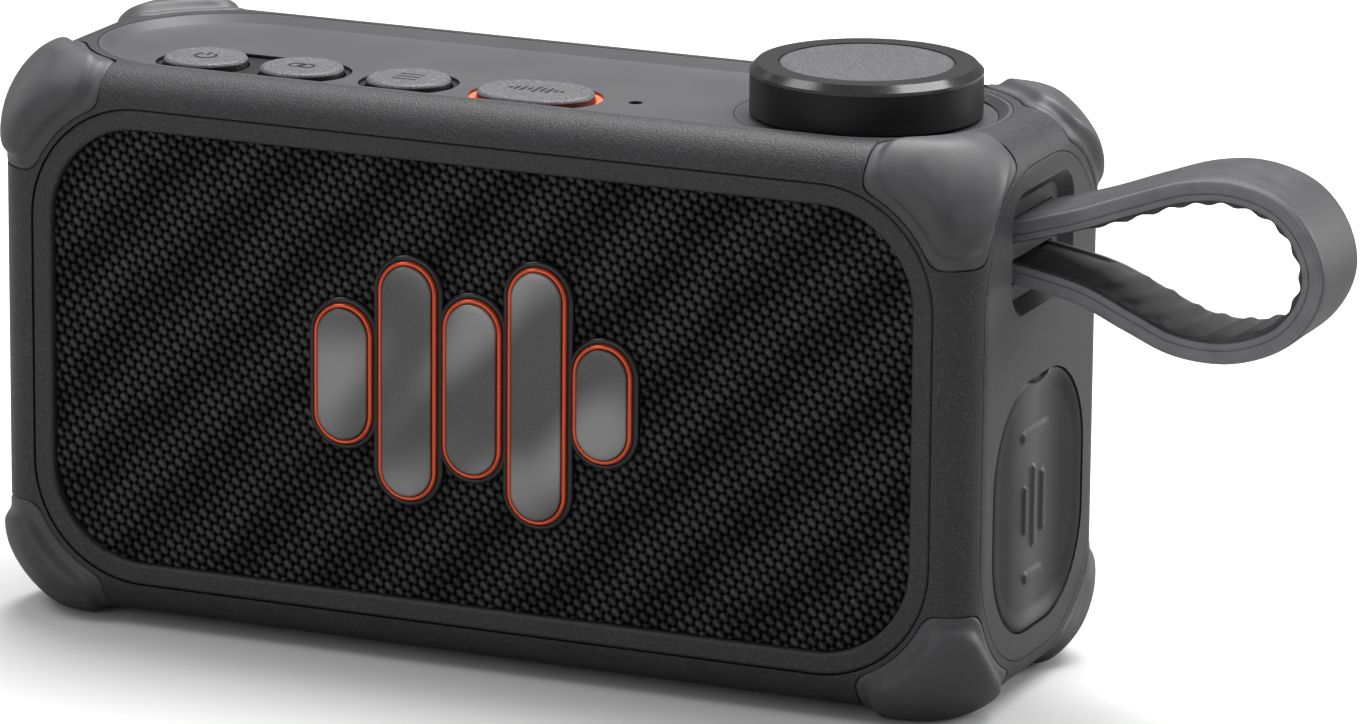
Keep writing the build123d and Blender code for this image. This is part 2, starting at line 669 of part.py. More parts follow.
with BuildPart() as cover_tether:
    with BuildSketch(side(CAP_X - 2.1)):
        with Locations((0, COVER_BOTTOM - 2.6)):
            RectangleRounded(16, 4.4, 1)
    extrude(amount=2.0)
save(cover_tether.part, "cover_tether")

# ---- Carry strap --------------------------------------------------------------------------

LEG_END_X = RECESS_X - 4.6
STRAP_ROUTE = [                 # centre line in X and Z, from the upper slot round to the lower one
    (RECESS_X, STRAP_Z + STRAP_ROOT_HALF), (104.5, STRAP_Z + 7.1), (114.5, STRAP_Z + 10.8),
    (124.0, STRAP_Z + 14.0), (132.5, STRAP_Z + 14.8), (140.5, STRAP_Z + 12.6), (145.6, STRAP_Z + 7.6),
    (STRAP_TIP_X - STRAP_T / 2, STRAP_Z + 0.8), (146.0, STRAP_Z - 5.6), (141.0, STRAP_Z - 10.8),
    (132.5, STRAP_Z - 13.8), (123.0, STRAP_Z - 13.4), (114.5, STRAP_Z - 10.1), (105.0, STRAP_Z - 6.1),
    (RECESS_X, STRAP_Z - STRAP_ROOT_HALF)]

with BuildPart() as strap:
    with BuildSketch(front(STRAP_W / 2)):
        with BuildLine():
            Spline(*STRAP_ROUTE, tangents=[(1, 0.18), (-1, 0.18)])
        trace(line_width=STRAP_T)
        for z in SLOT_Z:
            with Locations((LEG_END_X + 2.45, z)):
                Rectangle(4.9, STRAP_T)
    extrude(amount=STRAP_W)
    with BuildSketch(side(LEG_END_X - 2.2)):
        for z in SLOT_Z:
            with Locations((0, z)):
                RectangleRounded(STRAP_W + 3, STRAP_T + 1.2, 1)
    extrude(amount=2.2)
save(strap.part, "strap")

with BuildPart() as strap_anchor:
    with BuildSketch(side(LEG_END_X - 4.4)):
        with Locations((0, STRAP_Z)):
            RectangleRounded(STRAP_W + 6, RECESS_H + 1, 3)
    extrude(amount=2.1)
save(strap_anchor.part, "strap_anchor")

# ---- Speaker driver and passive radiator --------------------------------------------------

FLANGE_Y = BAFFLE_BACK + 0.05


def turn_profile(x, points):
    """Revolve a closed outline, given as (radius, y), about a driver's axis."""
    with BuildSketch(Plane.XY.offset(MID_Z)) as profile:
        with BuildLine():
            Polyline(*[(x + r, y) for r, y in points], close=True)
        make_face()
    revolve(profile.sketch, axis=Axis((x, 0, MID_Z), (0, 1, 0)))


def surround_profile(x):
    """Half roll between the moving part's edge and the flange's lip."""
    roll_in, roll_out, lip = CONE_R + 0.1, CONE_R + 3.3, CONE_R + 5.0
    middle = (roll_in + roll_out) / 2
    y = FLANGE_Y - 0.06
    with BuildSketch(Plane.XY.offset(MID_Z)) as profile:
        with BuildLine():
            Line((x + roll_in, y), (x + roll_in + 0.5, y))
            ThreePointArc((x + roll_in + 0.5, y), (x + middle, y - 1.3), (x + roll_out - 0.5, y))
            Line((x + roll_out - 0.5, y), (x + lip, y))
            Line((x + lip, y), (x + lip, y - 0.5))
            Line((x + lip, y - 0.5), (x + roll_out, y - 0.5))
            ThreePointArc((x + roll_out, y - 0.5), (x + middle, y - 2.0), (x + roll_in, y - 0.5))
            Line((x + roll_in, y - 0.5), (x + roll_in, y))
        make_face()
    revolve(profile.sketch, axis=Axis((x, 0, MID_Z), (0, 1, 0)))


def screw_holes(x):
    with BuildSketch(front(FLANGE_Y + 4)) as holes:
        with Locations((x, MID_Z)):
            with PolarLocations(SCREW_PCD_R, 4, start_angle=45):
                Circle(SCREW_R + 0.05)
    extrude(holes.sketch, amount=6, mode=Mode.SUBTRACT)


with BuildPart() as driver_frame:
    turn_profile(-DRIVER_X, [
        (27.6, FLANGE_Y), (FLANGE_R, FLANGE_Y), (FLANGE_R, FLANGE_Y + 1.8), (30, FLANGE_Y + 1.8),
        (21, FLANGE_Y + 15), (21, FLANGE_Y + 17), (10, FLANGE_Y + 17), (10, FLANGE_Y + 15.2),
        (19.4, FLANGE_Y + 15.2), (27.6, FLANGE_Y + 2.6)])
    screw_holes(-DRIVER_X)
    with BuildSketch(front(FLANGE_Y + 14)):
        with Locations((-DRIVER_X, MID_Z)):
            with PolarLocations(26, 4, start_angle=0):
                Rectangle(14, 16)
    extrude(amount=10, mode=Mode.SUBTRACT)
save(driver_frame.part, "driver_frame")

MAGNET_Y = FLANGE_Y + 17.05

with BuildPart() as driver_magnet:
    turn_profile(-DRIVER_X, [
        (0, MAGNET_Y + 12), (19, MAGNET_Y + 12), (19, MAGNET_Y), (9.7, MAGNET_Y),
        (9.7, MAGNET_Y + 7.5), (7.5, MAGNET_Y + 7.5), (7.5, MAGNET_Y), (0, MAGNET_Y)])
save(driver_magnet.part, "driver_magnet")

CONE_NECK_Y = FLANGE_Y + 10.0

with BuildPart() as driver_cone:
    turn_profile(-DRIVER_X, [
        (CONE_R, FLANGE_Y - 0.7), (CONE_R, FLANGE_Y), (CONE_R - 1, FLANGE_Y), (9.1, CONE_NECK_Y + 0.6),
        (9.1, CONE_NECK_Y - 0.2), (CONE_R - 1.2, FLANGE_Y - 0.7)])
save(driver_cone.part, "driver_cone")

with BuildPart() as voice_coil:
    turn_profile(-DRIVER_X, [
        (8.2, CONE_NECK_Y - 1.5), (9.0, CONE_NECK_Y - 1.5), (9.0, MAGNET_Y + 4), (8.2, MAGNET_Y + 4)])
save(voice_coil.part, "voice_coil")

DOME_R = 9.6
DOME_Y = CONE_NECK_Y - 1.9

with BuildPart() as driver_dust_cap:
    turn_profile(-DRIVER_X, [
        (0, DOME_Y - 3.6), (5.5, DOME_Y - 2.7), (DOME_R, DOME_Y - 0.6), (DOME_R, DOME_Y),
        (5.3, DOME_Y - 2.1), (0, DOME_Y - 3.0)])
save(driver_dust_cap.part, "driver_dust_cap")

with BuildPart() as driver_surround:
    surround_profile(-DRIVER_X)
save(driver_surround.part, "driver_surround")

with BuildPart() as radiator_frame:
    turn_profile(DRIVER_X, [
        (27.6, FLANGE_Y), (FLANGE_R, FLANGE_Y), (FLANGE_R, FLANGE_Y + 1.8), (29.4, FLANGE_Y + 1.8),
        (29.4, FLANGE_Y + 4), (27.6, FLANGE_Y + 4)])
    screw_holes(DRIVER_X)
save(radiator_frame.part, "radiator_frame")

with BuildPart() as radiator_plate:
    turn_profile(DRIVER_X, [
        (0, FLANGE_Y - 1.2), (CONE_R - 3, FLANGE_Y - 1.2), (CONE_R, FLANGE_Y - 0.6), (CONE_R, FLANGE_Y),
        (11, FLANGE_Y + 0.6), (11, FLANGE_Y + 4), (0, FLANGE_Y + 4)])
save(radiator_plate.part, "radiator_plate")

with BuildPart() as radiator_surround:
    surround_profile(DRIVER_X)
save(radiator_surround.part, "radiator_surround")

# ---- Boards and battery -------------------------------------------------------------------

with BuildPart() as control_board:
    with BuildSketch(Plane.XY.offset(BOARD_Z - 1.6)):
        RectangleRounded(144, 36, 4)
    extrude(amount=1.6)
save(control_board.part, "control_board")

with BuildPart() as tact_switches:
    with BuildSketch(Plane.XY.offset(BOARD_Z + 0.02)):
        for x in (*BUTTON_X.values(), EFFECT_X):
            with Locations((x, BUTTON_Y)):
                Rectangle(6, 6)
    extrude(amount=3.1)
    with BuildSketch(Plane.XY.offset(BOARD_Z + 0.02)):
        for x in (*BUTTON_X.values(), EFFECT_X):
            with Locations((x, BUTTON_Y)):
                Circle(1.7)
    extrude(amount=3.8)
save(tact_switches.part, "tact_switches")

with BuildPart() as main_board:
    with BuildSketch(front(BACK - 1 - 5.45)):
        with Locations((-40, 51.5)):
            RectangleRounded(74, 66, 3)
    extrude(amount=1.6)
save(main_board.part, "main_board")

CELL_R = 9.2
CELL_Z = (15.4, 34.4)
CELL_Y = 16.5

with BuildPart() as battery_tray:
    with BuildSketch(side(1)):
        with Locations((16.0, 24.0)):
            Rectangle(25, 41.4)
            with Locations((-2.4, 2.6)):
                Rectangle(25, 41.4, mode=Mode.SUBTRACT)
    extrude(amount=70.8)
save(battery_tray.part, "battery_tray")

with BuildPart() as battery_pack:
    with BuildSketch(side(3.5)):
        for z in CELL_Z:
            with Locations((CELL_Y, z)):
                Circle(CELL_R)
        with Locations((CELL_Y, sum(CELL_Z) / 2)):
            Rectangle(8, 6)
    extrude(amount=67)
save(battery_pack.part, "battery_pack")

# ---- Fasteners ----------------------------------------------------------------------------

with BuildPart() as housing_screws:
    with BuildSketch(front(BACK - 2.5)):
        with Locations(*SCREW_SPOTS):
            Circle(2.8)
    extrude(amount=2.25)
    with BuildSketch(front(BACK - 3.1)):
        with Locations(*SCREW_SPOTS):
            Circle(SCREW_R)
    extrude(amount=37)
    with BuildSketch(front(BACK + 1)):
        with Locations(*SCREW_SPOTS):
            RegularPolygon(1.2, 6)
    extrude(amount=4.6, mode=Mode.SUBTRACT)
save(housing_screws.part, "housing_screws")

with BuildPart() as driver_screws:
    with BuildSketch(front(FLANGE_Y + 3.2)):
        for spot in DRIVER_SPOTS:
            with Locations(spot):
                with PolarLocations(SCREW_PCD_R, 4, start_angle=45):
                    Circle(1.85)
    extrude(amount=1.35)
    with BuildSketch(front(FLANGE_Y + 2.5)):
        for spot in DRIVER_SPOTS:
            with Locations(spot):
                with PolarLocations(SCREW_PCD_R, 4, start_angle=45):
                    Circle(SCREW_R)
    extrude(amount=4.2)
save(driver_screws.part, "driver_screws")
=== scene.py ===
import math

import bmesh
import bpy
from mathutils import Matrix, Vector, noise


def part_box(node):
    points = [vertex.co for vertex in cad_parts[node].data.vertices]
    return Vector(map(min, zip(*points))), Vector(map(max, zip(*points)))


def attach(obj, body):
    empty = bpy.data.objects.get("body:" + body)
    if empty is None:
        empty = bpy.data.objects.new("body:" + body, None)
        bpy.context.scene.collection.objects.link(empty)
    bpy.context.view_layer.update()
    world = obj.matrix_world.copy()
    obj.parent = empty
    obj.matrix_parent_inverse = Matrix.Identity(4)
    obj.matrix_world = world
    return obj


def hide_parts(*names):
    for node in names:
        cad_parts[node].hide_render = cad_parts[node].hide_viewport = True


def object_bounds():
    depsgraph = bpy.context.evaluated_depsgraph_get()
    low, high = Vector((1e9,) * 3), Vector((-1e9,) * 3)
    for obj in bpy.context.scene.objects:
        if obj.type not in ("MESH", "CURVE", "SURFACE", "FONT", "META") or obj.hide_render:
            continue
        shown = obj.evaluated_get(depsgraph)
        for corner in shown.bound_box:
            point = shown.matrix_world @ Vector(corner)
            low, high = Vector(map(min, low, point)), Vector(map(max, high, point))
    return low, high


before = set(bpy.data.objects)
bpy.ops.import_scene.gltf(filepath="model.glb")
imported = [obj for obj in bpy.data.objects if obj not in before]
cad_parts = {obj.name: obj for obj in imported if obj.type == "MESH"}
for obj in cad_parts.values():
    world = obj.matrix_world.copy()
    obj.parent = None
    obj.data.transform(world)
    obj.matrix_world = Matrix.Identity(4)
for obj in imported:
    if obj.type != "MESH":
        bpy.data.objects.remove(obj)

CAD_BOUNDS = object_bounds()
scene = bpy.context.scene
MM = 0.001

# ---- Camera and light -----------------------------------------------------------------------

camera_data = bpy.data.cameras.new("camera")
camera_data.lens = 217.36
camera_data.sensor_width = 36.0
camera_data.clip_start, camera_data.clip_end = 0.05, 30.0
camera = bpy.data.objects.new("camera", camera_data)
scene.collection.objects.link(camera)
CAMERA_AT = Vector((0.59213, -1.30752, 0.42018))
look = Vector((-0.38436, 0.88845, -0.25085)).normalized()
lift = Vector((-0.10777, 0.22668, 0.96799))
across = look.cross(lift).normalized()
lift = across.cross(look)
camera.matrix_world = Matrix((
    (across.x, lift.x, -look.x, CAMERA_AT.x),
    (across.y, lift.y, -look.y, CAMERA_AT.y),
    (across.z, lift.z, -look.z, CAMERA_AT.z),
    (0, 0, 0, 1)))
scene.camera = camera
scene.view_settings.view_transform = "Standard"


def area_light(name, at, target, size, power):
    data = bpy.data.lights.new(name, "AREA")
    data.shape = "RECTANGLE"
    data.size, data.size_y = size
    data.energy = power
    lamp = bpy.data.objects.new(name, data)
    lamp.location = at
    lamp.rotation_mode = "QUATERNION"
    lamp.rotation_quaternion = (Vector(target) - Vector(at)).to_track_quat("-Z", "Y")
    scene.collection.objects.link(lamp)


area_light("top_softbox", (0.1, 0.5, 1.3), (0, 0, 0.05), (1.5, 0.9), 31)
area_light("left_top_softbox", (-0.75, -0.25, 1.1), (0, 0, 0.08), (0.6, 0.5), 3.5)
area_light("rear_rim_light", (1.15, 1.2, 0.55), (0.06, 0, 0.07), (0.5, 0.9), 12)
area_light("left_rim_light", (-1.3, 0.35, 0.45), (-0.06, 0, 0.06), (0.4, 0.8), 1.5)
area_light("right_softbox", (1.7, 0.1, 0.5), (0, 0, 0.07), (0.4, 0.9), 1.5)
area_light("front_fill", (-0.5, -1.7, 0.6), (0, 0, 0.05), (1.0, 0.8), 2.4)
area_light("low_front_fill", (-0.3, -1.3, 0.14), (0, 0, 0.04), (1.3, 0.2), 0.9)

world = bpy.data.worlds.new("studio")
scene.world = world
world.use_nodes = True
backdrop = world.node_tree.nodes["Background"]
backdrop.inputs["Color"].default_value = (1.0, 0.99, 1.0, 1)
# a white backdrop to the eye that lights the scene only faintly
light_path = world.node_tree.nodes.new("ShaderNodeLightPath")
level = world.node_tree.nodes.new("ShaderNodeMapRange")
level.inputs["To Min"].default_value, level.inputs["To Max"].default_value = 0.24, 1.0
world.node_tree.links.new(light_path.outputs["Is Camera Ray"], level.inputs["Value"])
world.node_tree.links.new(level.outputs["Result"], backdrop.inputs["Strength"])

# ---- Material helpers -----------------------------------------------------------------------


def grey(value, tint=0.0):
    """A grey from an sRGB level of 0 to 255, pushed slightly towards blue by the tint."""
    level = value / 255
    linear = level / 12.92 if level <= 0.04045 else ((level + 0.055) / 1.055) ** 2.4
    return (linear, linear, linear * (1 + 4 * tint), 1)


# sRGB level of painted shade in gaps and wells
GAP_SHADE_LEVEL = 9


class Shader:
    """A material under construction: nodes are added by type and wired by socket name."""

    def __init__(self, name):
        self.material = bpy.data.materials.new(name)
        self.material.use_nodes = True
        self.tree = self.material.node_tree
        self.bsdf = self.tree.nodes["Principled BSDF"]
        place = self.add("ShaderNodeTexCoord")
        scale = self.add("ShaderNodeVectorMath", operation="SCALE")
        self.tree.links.new(place.outputs["Object"], scale.inputs[0])
        scale.inputs["Scale"].default_value = 1000
        self.mm = scale.outputs[0]

    def add(self, kind, inputs=(), **settings):
        node = self.tree.nodes.new(kind)
        for key, value in settings.items():
            setattr(node, key, value)
        for key, value in dict(inputs).items():
            self.put(node.inputs[key], value)
        return node

    def put(self, socket, value):
        if isinstance(value, bpy.types.NodeSocket):
            self.tree.links.new(value, socket)
        else:
            socket.default_value = value

    def math(self, operation, a, b=0.0):
        node = self.add("ShaderNodeMath", operation=operation)
        for socket, value in zip(node.inputs, (a, b)):
            self.put(socket, value)
        return node.outputs[0]

    def vector(self, operation, a, b=(0, 0, 0)):
        return self.add("ShaderNodeVectorMath", {0: a, 1: b}, operation=operation)

    def ramp(self, value, low, high, out_low=0.0, out_high=1.0, smooth=False):
        kind = "SMOOTHSTEP" if smooth else "LINEAR"
        node = self.add("ShaderNodeMapRange", interpolation_type=kind)
        for socket, number in zip(node.inputs, (value, low, high, out_low, out_high)):
            self.put(socket, number)
        return node.outputs[0]

    def noise(self, scale, detail=2.0, rough=0.55, stretch=None, vector=None):
        place = self.mm if vector is None else vector
        if stretch:
            place = self.vector("MULTIPLY", place, stretch).outputs[0]
        inputs = {"Vector": place, "Scale": scale, "Detail": detail, "Roughness": rough}
        return self.add("ShaderNodeTexNoise", inputs).outputs["Fac"]

    def mix(self, factor, a, b):
        node = self.add("ShaderNodeMix", data_type="RGBA")
        self.put(node.inputs[0], factor)
        self.put(node.inputs[6], a)
        self.put(node.inputs[7], b)
        return node.outputs[2]

    def bump(self, height, depth_mm, strength):
        inputs = {"Height": height, "Distance": depth_mm * MM, "Strength": strength}
        return self.add("ShaderNodeBump", inputs).outputs[0]

    def coordinate(self, axis):
        return self.add("ShaderNodeSeparateXYZ", {0: self.mm}).outputs[axis]

    def slanted(self, along, across):
        """Coordinates turned by 45 degrees in X and Z and scaled along and across the slant."""
        x, z = self.coordinate(0), self.coordinate(2)
        u, v = self.math("ADD", x, z), self.math("SUBTRACT", z, x)
        parts = {0: self.math("MULTIPLY", u, along), 1: self.math("MULTIPLY", v, across)}
        return self.add("ShaderNodeCombineXYZ", parts).outputs[0]

    def from_axis(self, x, y):
        """Distance in millimetres from an upright axis."""
        away = self.vector("SUBTRACT", self.mm, (x, y, 0)).outputs[0]
        flat = self.vector("MULTIPLY", away, (1, 1, 0)).outputs[0]
        return self.vector("LENGTH", flat).outputs["Value"]

    def darken(self, base, keep):
        """The level of a shaded gap where keep is 0, the base colour where it is 1."""
        return self.mix(keep, grey(GAP_SHADE_LEVEL), base)

    def flecks(self, scale, share, size):
        """Scattered bright grains: one in so many cells, each a small dot."""
        cells = self.add("ShaderNodeTexVoronoi", {"Vector": self.mm, "Scale": scale})
        pick = self.add("ShaderNodeSeparateColor", {0: cells.outputs["Color"]}).outputs[0]
        chosen = self.math("GREATER_THAN", pick, 1 - share)
        dot = self.ramp(cells.outputs["Distance"], size, size * 0.4, smooth=True)
        return self.math("MULTIPLY", chosen, dot)

    def finish(self, **values):
        for key, value in values.items():
            self.put(self.bsdf.inputs[key.replace("_", " ").title().replace("Ior", "IOR")], value)
        return self.material


FLECK_CELLS_PER_MM = 3.1
# height over which a material fades into the shade of a gap
GAP_FADE = 0.15


def speckled(name, level, grain=1.0, fleck=0.2, rough=0.5, specular=0.5, painted_shade_below=None, shaded_seam=None):
    """Moulded plastic with a spark-eroded grain, pale flecks painted bright as glints and a faint
    cloudiness.

    It is painted nearly black below a height, or beyond a radius about an upright axis, given as (x, y,
    radius): painted shade in a well and in the gap around a part.
    """
    s = Shader(name)
    tint = 0.02
    fine = s.noise(2.6, 3.0, 0.6)
    cloud = s.noise(0.09, 2.0)
    base = s.mix(s.ramp(fine, 0.3, 0.7), grey(level * 0.74, tint), grey(level * 1.22, tint))
    base = s.mix(s.ramp(cloud, 0.35, 0.65, 0.0, 0.25), base, grey(level * 1.2, tint))
    # painted glints: pale flecks of the plastic, made bright enough to stand in for specular glints
    fleck_glints = s.flecks(FLECK_CELLS_PER_MM, fleck, size=0.42)
    base = s.mix(s.math("MULTIPLY", fleck_glints, 0.7), base, grey(min(255, level * 2.1), tint))
    # painted shade: nearly black below the given height, where the part sinks into its well
    if painted_shade_below:
        base = s.darken(base, s.ramp(s.coordinate(2), painted_shade_below - GAP_FADE, painted_shade_below))
    # painted shade: nearly black beyond the given radius, in the gap around the part
    if shaded_seam:
        x, y, radius = shaded_seam
        base = s.darken(base, s.ramp(s.from_axis(x, y), radius + 0.05, radius - 0.05))
    roughness = s.ramp(fine, 0.3, 0.7, rough - 0.07, rough + 0.09)
    normal = s.bump(fine, 0.14, 0.6 * grain)
    return s.finish(base_color=base, roughness=roughness, normal=normal, specular_ior_level=specular)


def rubber(name, level, rough=0.55):
    """Matte silicone: nearly even, with fine dust and faint handling marks."""
    s = Shader(name)
    tint = 0.015
    fine = s.noise(4.5, 2.0)
    soft = s.noise(0.22, 3.0, 0.6)
    base = s.mix(s.ramp(soft, 0.3, 0.7), grey(level * 0.93, tint), grey(level * 1.07, tint))
    base = s.mix(s.ramp(fine, 0.45, 0.8, 0.0, 0.3), base, grey(level * 1.25, tint))
    roughness = s.ramp(soft, 0.3, 0.7, rough - 0.05, rough + 0.07)
    return s.finish(base_color=base, roughness=roughness, normal=s.bump(fine, 0.03, 0.4))


def brushed(name, colour, rough=0.32, metal=1.0):
    """Metal with fine upright brushing."""
    s = Shader(name)
    lines = s.noise(6.0, 3.0, 0.6, stretch=(1, 1, 0.06))
    dark = tuple(c * 0.78 for c in colour[:3]) + (1,)
    base = s.mix(s.ramp(lines, 0.3, 0.7), dark, colour)
    roughness = s.ramp(lines, 0.3, 0.7, rough - 0.08, rough + 0.1)
    return s.finish(base_color=base, metallic=metal, roughness=roughness, normal=s.bump(lines, 0.02, 0.3))


def satin(name, level, rough=0.38, tint=0.015, specular=0.5, painted_shade_below=None, grain=1.0):
    """Smooth moulded plastic with a very faint grain, painted nearly black below a given height as painted
    shade.
    """
    s = Shader(name)
    fine = s.noise(3.6, 2.0)
    cloud = s.noise(0.06, 2.0)
    base = s.mix(s.ramp(cloud, 0.3, 0.7), grey(level * 0.95, tint), grey(level * 1.05, tint))
    base = s.mix(s.ramp(fine, 0.35, 0.75, 0.0, 0.2), base, grey(level * 1.2, tint))
    # painted shade: nearly black below the given height, down in the wells
    if painted_shade_below:
        base = s.darken(base, s.ramp(s.coordinate(2), painted_shade_below - GAP_FADE, painted_shade_below))
    return s.finish(base_color=base, roughness=s.ramp(fine, 0.3, 0.7, rough - 0.04, rough + 0.05),
                    normal=s.bump(fine, 0.035 * grain, 0.35), specular_ior_level=specular)


def sheen_metal(name):
    """Blasted grey metal with wide slanting painted reflections."""
    s = Shader(name)
    fine = s.noise(3.5, 3.0, 0.6)
    painted_reflection = s.ramp(s.noise(1.0, 1.0, 0.4, vector=s.slanted(0.016, 0.036)), 0.38, 0.62, smooth=True)
    # painted reflections: light and dark slanting bands in the base colour
    base = s.mix(painted_reflection, grey(84), grey(158))
    base = s.mix(s.ramp(fine, 0.3, 0.7, 0.0, 0.3), base, grey(150))
    return s.finish(base_color=base, metallic=0.7, roughness=s.ramp(fine, 0.3, 0.7, 0.3, 0.42),
                    normal=s.bump(fine, 0.02, 0.4))


def cover_rubber(name, level):
    """Rubber with a painted highlight down its middle, and painted shade with a duller finish towards both
    sides.
    """
    s = Shader(name)
    fine = s.noise(4.5, 2.0)
    aside = s.math("ABSOLUTE", s.coordinate(1))
    # painted highlight down the middle, fading to painted shade at the sides
    base = s.mix(s.ramp(aside, 0.5, 12.0, smooth=True), grey(level * 1.3), grey(level * 0.62))
    base = s.mix(s.ramp(fine, 0.4, 0.8, 0.0, 0.3), base, grey(level * 1.4))
    return s.finish(base_color=base, roughness=s.ramp(aside, 1.0, 13.0, 0.34, 0.55),
                    specular_ior_level=s.ramp(aside, 1.0, 13.0, 0.5, 0.2), normal=s.bump(fine, 0.03, 0.4))


def glow(name, colour):
    """A lit diffuser, a little uneven along its length."""
    s = Shader(name)
    cloud = s.noise(0.3, 2.0)
    return s.finish(base_color=colour, emission_color=colour, roughness=0.5,
                    emission_strength=s.ramp(cloud, 0.3, 0.7, 0.88, 1.32))


MATERIALS = {
    "housing": speckled("housing_plastic", 52, fleck=0.28, rough=0.44, grain=1.5, specular=0.42),
    "bezel": speckled("bezel_plastic", 54, fleck=0.24, specular=0.42),
    # painted shade in the button wells, below the deck's top face
    "deck": satin("deck_plastic", 78, rough=0.42, painted_shade_below=99.65),
    "grille_fabric": rubber("fabric_base", 18),
    "grille_plate": satin("grille_plate_steel", 22),
    "gasket": rubber("gasket_rubber", 20),
    "inner_plastic": satin("inner_plastic", 30),
    "badge_black": satin("badge_backing", 26, rough=0.2, tint=0.06, grain=0.2),
    "badge_orange": brushed("badge_orange_metal", (1.0, 0.14, 0.05, 1), rough=0.18, metal=0.5),
    "badge_metal": sheen_metal("badge_grey_metal"),
    # painted shade on the lower sides of the button caps, under their top edge
    "button": speckled("button_plastic", 90, fleck=0.36, grain=1.2, rough=0.45, painted_shade_below=100.35),
    "light_ring": glow("light_ring_diffuser", (1.0, 0.13, 0.05, 1)),
    "inner_metal": brushed("inner_metal", (0.5, 0.5, 0.5, 1)),
    "knob_black": satin("knob_black_plastic", 14, rough=0.4, specular=0.35),
    "knob_ring": satin("knob_ring_polish", 34, rough=0.2, specular=0.8, grain=0.15),
    # painted shade in the gap around the knob disc
    "knob_disc": speckled("knob_disc_plastic", 76, fleck=0.48, grain=1.6,
                          shaded_seam=(61.3, 0.0, 15.15)),
    "shaft": brushed("shaft_steel", (0.55, 0.55, 0.56, 1)),
    "port_cover": cover_rubber("port_cover_rubber", 36),
    "port_plate": satin("port_plate_plastic", 28),
    "jack": brushed("jack_nickel", (0.62, 0.61, 0.58, 1), rough=0.25),
    "board": satin("board_laminate", 45, tint=-0.2),
    "strap": rubber("strap_rubber", 70, rough=0.5),
    "driver_frame": satin("driver_frame_steel", 30),
    "magnet": satin("magnet_ferrite", 40),
    "cone": satin("cone_paper", 25, rough=0.7),
    "coil": brushed("coil_copper", (0.7, 0.3, 0.12, 1)),
    "surround": rubber("surround_rubber", 18),
    "battery": satin("battery_wrap", 60, tint=0.3),
    "screws": brushed("screw_steel", (0.35, 0.35, 0.36, 1)),
    "bumper": rubber("bumper_rubber", 76, rough=0.46),
}

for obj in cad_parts.values():
    for place in obj.material_slots:
        place.material = MATERIALS[place.material.name]

# ---- Mesh helpers ---------------------------------------------------------------------------


def add_piece(name, points, faces, materials, body, face_slots=None, sharp_angle=None):
    """A mesh piece in millimetres, shaded smooth, riding on a body."""
    mesh = bpy.data.meshes.new(name)
    mesh.from_pydata([(x * MM, y * MM, z * MM) for x, y, z in points], [], faces)
    mesh.polygons.foreach_set("use_smooth", [True] * len(mesh.polygons))
    if face_slots:
        mesh.polygons.foreach_set("material_index", face_slots)
    mesh.update()
    for material in materials:
        mesh.materials.append(material)
    if sharp_angle:
        mesh.set_sharp_from_angle(angle=math.radians(sharp_angle))
    obj = bpy.data.objects.new(name, mesh)
    scene.collection.objects.link(obj)
    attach(obj, body)
    return obj


def face_outwards(piece):
    build = bmesh.new()
    build.from_mesh(piece.data)
    bmesh.ops.recalc_face_normals(build, faces=build.faces)
    build.to_mesh(piece.data)
    build.free()


def smooth_step(value, low, high):
    t = min(1.0, max(0.0, (value - low) / (high - low)))
    return t * t * (3 - 2 * t)


def soft_min(a, b, k):
    gap = max(k - abs(a - b), 0.0)
    return min(a, b) - gap * gap / (4 * k)


def rounded_box(point, half, radius):
    """Distance in millimetres from a box with rounded edges, negative inside."""
    q = [abs(c) - h + radius for c, h in zip(point, half)]
    return math.hypot(*(max(c, 0.0) for c in q)) + min(max(q), 0.0) - radius


def box_mm(node):
    low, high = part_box(node)
    return Vector(low) / MM, Vector(high) / MM


# ---- Corner bumpers: a thin skirt that ramps up to a raised pad -----------------------------

BODY_HALF = (95.0, 32.3, 50.6)
MID_Z = 50.6
EDGE_R, BALL_R, BALL_SET, BODY_BLEND = 7.5, 22.0, 4.25, 0.9
LOBE_LIMIT, LOBE_BLEND = (73.8, 11.8, 30.9), 2.4
# (first axis, second axis, arc centre on them, arc radius)
LOBE_ARCS = ((0, 2, (65.75, 22.5), 22.6), (1, 2, (4.3, 22.2), 24.3), (0, 1, (63.5, 0.5), 25.8))
# each rear bumper has a rounded ear over its housing screw hole: its middle in X and Z, radius and blend
EAR_AT, EAR_R, EAR_BLEND = (78.0, 42.6), 4.0, 1.6
BUMPER_STEP = 0.55
BUMPER_CELLS = 40
# how far inside the outline the patch is trimmed
TRIM_AT = 0.12
PAD_H, SKIRT_H, SKIRT_EDGE_H, BUMPER_ROOT = 1.6, 0.2, -0.1, -0.44
# a point under the middle of the patch, which tells its outer side
UNDER_PATCH = Vector((80, 20, 40))


def body_distance(p):
    rolled = rounded_box(p, BODY_HALF, EDGE_R)
    balls = rounded_box(p, [h + BALL_SET for h in BODY_HALF], BALL_R)
    return -soft_min(-rolled, -balls, BODY_BLEND)


def lobe_distance(p, ears):
    """How far a point lies inside the bumper's outline."""
    inside = 100.0
    for a, b, centre, radius in LOBE_ARCS:
        arc = math.hypot(p[a] - centre[0], p[b] - centre[1]) - radius
        if ears and (a, b) == (0, 2):
            ear = EAR_R - math.hypot(p.x - EAR_AT[0], p.z - EAR_AT[1])
            arc = -soft_min(-arc, -ear, EAR_BLEND)
        for axis in (a, b):
            arc = soft_min(arc, p[axis] - LOBE_LIMIT[axis], LOBE_BLEND)
        inside = min(inside, arc)
    return inside


